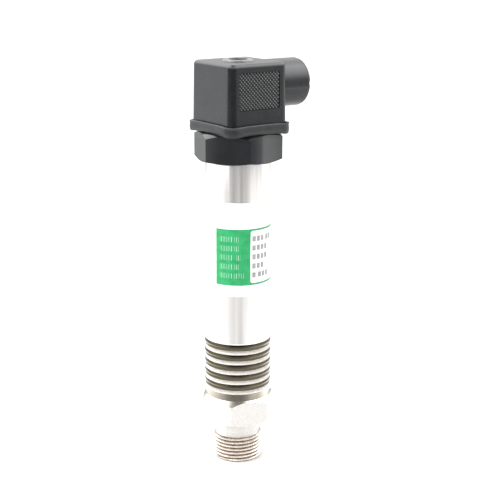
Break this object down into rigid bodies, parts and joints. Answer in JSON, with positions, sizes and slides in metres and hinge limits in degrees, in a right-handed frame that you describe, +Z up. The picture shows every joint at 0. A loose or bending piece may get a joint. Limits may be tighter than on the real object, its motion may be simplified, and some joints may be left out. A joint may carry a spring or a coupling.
{
  "type": "pressure transmitter",
  "caption": "Upright pressure transmitter: threaded steel fitting with hexagon and cooling fins, steel tube with sticker, black hexagonal base and square plug with side cable outlet.",
  "frame": {"origin": "centre of the mouth of the pressure port, on the flat end of the thread", "axes": "+Z up the tube's axis, towards the plug; +X along the cable barrel, the way the cable leaves"},
  "size_m": [0.046, 0.0336, 0.1636],
  "materials": {
    "turned_steel": "fine turned, satin, with faint tool rings",
    "tube_steel": "drawn tube, fine polished, faint lines along it",
    "sensor_steel": "satin",
    "label_film": "satin printed film: white with a green field",
    "black_plastic": "glass-filled moulding, satin, fine grain",
    "gland_plastic": "moulded, satin",
    "gasket_rubber": "dark grey, soft, dull",
    "seal_rubber": "dull",
    "holder_plastic": "natural white moulding",
    "block_plastic": "moulded, satin",
    "board_laminate": "green lacquered laminate",
    "chip_plastic": "moulded chip cases",
    "lead_cover": "soft cover",
    "brass": "turned brass",
    "plated_brass": "tin plated",
    "plated_screw": "zinc plated"
  },
  "bodies": {
    "root": {"process_fitting": "turned_steel", "tube": "tube_steel", "rating_label": "label_film", "isolating_diaphragm": "sensor_steel", "sensor_core": "sensor_steel", "sensor_seal": "seal_rubber", "retaining_ring": "turned_steel", "board_holder": "holder_plastic", "amplifier_board": "board_laminate", "board_components": "chip_plastic", "sensor_leads": "lead_cover", "output_leads": "lead_cover", "connector_base": "black_plastic", "base_seal": "seal_rubber", "base_insert": "brass", "contact_blades": "plated_brass", "earth_blade": "plated_brass", "profile_gasket": "gasket_rubber"},
    "plug": {"plug_housing": "black_plastic", "terminal_block": "block_plastic", "contact_sleeves": "brass", "earth_sleeve": "brass", "terminal_screws": "plated_screw", "cable_grommet": "gasket_rubber", "gland_washer": "plated_screw", "screw_seal": "seal_rubber"},
    "fixing_screw": {"centre_screw": "plated_screw"},
    "gland": {"gland_nut": "gland_plastic"}
  },
  "joints": [
    {"name": "plug_pull", "type": "slide", "parent": "root", "child": "plug", "axis": [0, 0, 1], "range_m": [0, 0.025]},
    {"name": "centre_screw_turn", "type": "hinge", "parent": "plug", "child": "fixing_screw", "pos_m": [0, 0, 0.16], "axis": [0, 0, 1], "continuous": true},
    {"name": "gland_turn", "type": "hinge", "parent": "plug", "child": "gland", "pos_m": [0.0275, 0, 0.1534], "axis": [1, 0, 0], "continuous": true}
  ]
}
